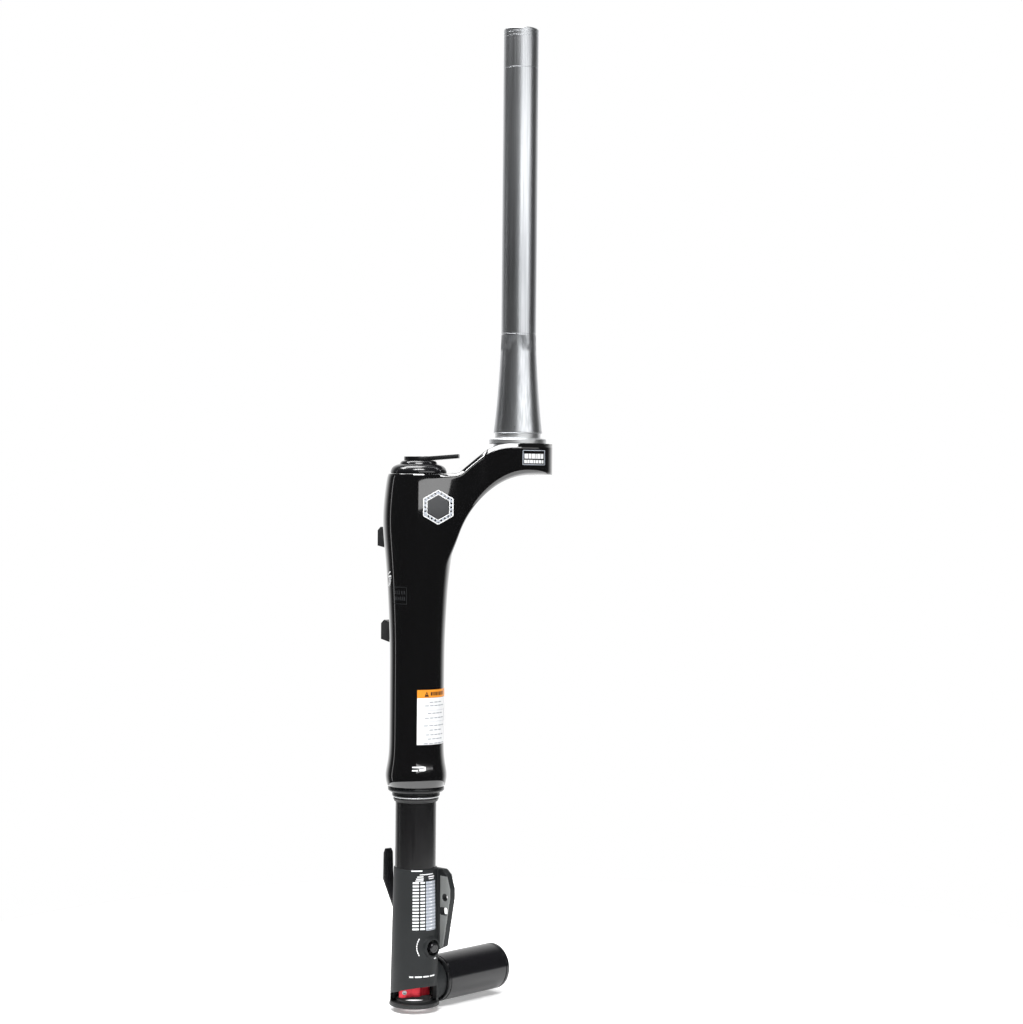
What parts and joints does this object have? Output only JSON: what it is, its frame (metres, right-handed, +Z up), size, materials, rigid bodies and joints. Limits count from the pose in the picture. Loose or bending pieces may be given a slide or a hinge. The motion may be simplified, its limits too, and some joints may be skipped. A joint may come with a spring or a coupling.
{
  "type": "suspension fork",
  "caption": "Single-sided inverted telescopic bicycle fork with tapered steerer, needle-bearing leg, stub spindle with slip-on cover, lockout lever and rebound knob.",
  "frame": {"origin": "on the steerer's axis at the crown's top face, where the headset race's flange starts", "axes": "+Z up the steerer, +Y forward, +X to the rider's right, along the stub spindle"},
  "size_m": [0.1237, 0.1225, 0.8035],
  "materials": {
    "gloss_black_paint": "gloss black paint on the forging",
    "steerer_aluminium": "drawn and machined bare aluminium",
    "black_anodised": "satin black anodised",
    "casting_black": "matte dark grey powder coat",
    "hard_steel": "hardened and ground",
    "turned_aluminium": "machined",
    "black_plastic": "moulded nylon, satin",
    "gloss_plastic": "polished moulded black",
    "seal_rubber": "nitrile rubber",
    "bumper_foam": "polyurethane elastomer",
    "red_anodised": "red anodised",
    "cage_nylon": "glass filled nylon",
    "glide_polymer": "filled bearing polymer"
  },
  "bodies": {
    "upper": {"steerer_tube": "steerer_aluminium", "crown_and_outer_tube": "gloss_black_paint", "upper_hose_guide": "black_plastic", "lower_hose_guide": "black_plastic", "hose_guide_screws": "hard_steel", "collar_nut": "black_anodised", "race_retainer": "hard_steel", "seal_housing": "black_anodised", "garter_ring": "hard_steel", "wiper_seal": "seal_rubber", "wiper_lip": "seal_rubber", "outer_race_strips": "hard_steel", "top_cap": "gloss_plastic", "top_cap_seal": "seal_rubber", "damper_tube": "turned_aluminium", "compression_valve": "turned_aluminium", "damper_seal_head": "turned_aluminium", "bottom_out_bumper": "bumper_foam", "air_piston": "turned_aluminium", "air_piston_seal": "seal_rubber", "air_piston_glide_ring": "glide_polymer", "top_out_bumper": "bumper_foam"},
    "lockout": {"lockout_lever": "black_anodised", "lockout_shaft": "hard_steel", "lockout_screw": "hard_steel"},
    "floating_piston_body": {"floating_piston": "turned_aluminium", "floating_piston_seal": "seal_rubber"},
    "bearing_cages": {"needle_cages": "cage_nylon", "needle_rollers": "hard_steel"},
    "lower_leg": {"inner_tube": "black_anodised", "inner_race_strips": "hard_steel", "negative_air_head": "turned_aluminium", "air_head_snap_ring": "hard_steel", "damper_shaft": "hard_steel", "damper_piston": "turned_aluminium", "damper_piston_ring": "glide_polymer", "damper_shims": "hard_steel", "damper_piston_nut": "hard_steel", "shaft_nut": "hard_steel", "foot_casting": "casting_black", "bottom_guard": "black_plastic", "hose_horn": "gloss_plastic", "hose_horn_screw": "hard_steel", "air_valve_body": "turned_aluminium", "spindle": "turned_aluminium", "spindle_root_ring": "black_anodised"},
    "valve_pin_body": {"valve_pin": "hard_steel"},
    "valve_cap_body": {"valve_cap": "black_plastic"},
    "spindle_cover": {"cover_tube": "gloss_plastic", "cover_end_cap": "gloss_plastic"},
    "rebound_knob_body": {"rebound_knob": "red_anodised", "knob_set_screw": "hard_steel", "rebound_rod": "hard_steel"},
    "rebound_needle_body": {"rebound_needle": "hard_steel"}
  },
  "joints": [
    {"name": "suspension_travel", "type": "slide", "parent": "upper", "child": "lower_leg", "axis": [0, 0, 1], "range_m": [0, 0.04], "stiffness_N_per_m": 9000, "springref_m": -0.004},
    {"name": "cage_travel", "type": "slide", "parent": "upper", "child": "bearing_cages", "axis": [0, 0, 1], "range_m": [0, 0.02]},
    {"name": "floating_piston_travel", "type": "slide", "parent": "upper", "child": "floating_piston_body", "axis": [0, 0, 1], "range_m": [0, 0.01331]},
    {"name": "lockout_turn", "type": "hinge", "parent": "upper", "child": "lockout", "pos_m": [-0.065, 0.05, -0.0131], "axis": [0, 0, 1], "range_deg": [-90, 0]},
    {"name": "valve_pin_press", "type": "slide", "parent": "lower_leg", "child": "valve_pin_body", "axis": [0, 1, 0], "range_m": [0, 0.001], "stiffness_N_per_m": 400, "springref_m": -0.001},
    {"name": "valve_cap_pull", "type": "slide", "parent": "lower_leg", "child": "valve_cap_body", "axis": [0, -1, 0], "range_m": [0, 0.02]},
    {"name": "spindle_cover_pull", "type": "slide", "parent": "lower_leg", "child": "spindle_cover", "axis": [1, 0, 0], "range_m": [0, 0.08]},
    {"name": "rebound_turn", "type": "hinge", "parent": "lower_leg", "child": "rebound_knob_body", "pos_m": [-0.065, 0.05, -0.4495], "axis": [0, 0, 1], "range_deg": [-135, 135]},
    {"name": "rebound_lift", "type": "slide", "parent": "lower_leg", "child": "rebound_needle_body", "axis": [0, 0, 1], "range_m": [-0.00027, 0.00027]}
  ],
  "couplings": [
    {"joint": "cage_travel", "follows": "suspension_travel", "ratio": 0.5},
    {"joint": "floating_piston_travel", "follows": "suspension_travel", "ratio": 0.3228},
    {"joint": "rebound_lift", "follows": "rebound_turn", "m_per_rad": 0.00011141}
  ]
}
